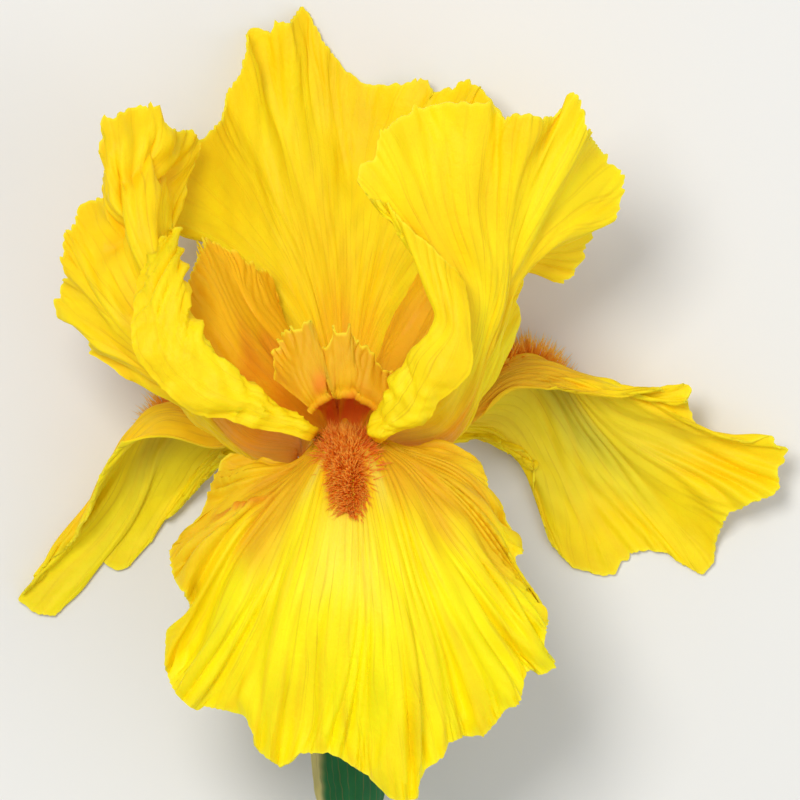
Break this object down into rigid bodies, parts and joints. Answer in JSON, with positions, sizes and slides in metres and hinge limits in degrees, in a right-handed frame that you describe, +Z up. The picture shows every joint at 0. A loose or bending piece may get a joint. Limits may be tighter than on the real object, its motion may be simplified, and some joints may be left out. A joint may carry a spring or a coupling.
{
  "type": "bearded iris flower",
  "caption": "Cut bearded iris in full bloom with wide ruffled standards, spreading falls, orange beards and a short stem, lying on its back.",
  "frame": {"origin": "under the middle of the flower's outline, on the surface that it lies on", "axes": "+X towards the right fall, +Y from the cut stem towards the tips of the standards, +Z up, out of the front of the flower"},
  "size_m": [0.1378, 0.1801, 0.0662],
  "materials": {
    "fall": "matte",
    "standard": "matte",
    "style_arm": "matte",
    "beard": "matte",
    "stamen": "matte",
    "ovary": "satin",
    "stem": "satin",
    "spathe": "matte"
  },
  "bodies": {
    "root": {"fall_front": "fall", "fall_left": "fall", "fall_right": "fall", "standard_back": "standard", "standard_left": "standard", "standard_right": "standard", "style_arm_front": "style_arm", "style_arm_left": "style_arm", "style_arm_right": "style_arm", "beard_front": "beard", "beard_left": "beard", "beard_right": "beard", "stamen_front": "stamen", "stamen_left": "stamen", "stamen_right": "stamen", "ovary": "ovary", "stem": "stem", "spathe_outer": "spathe", "spathe_inner": "spathe"}
  },
  "joints": []
}
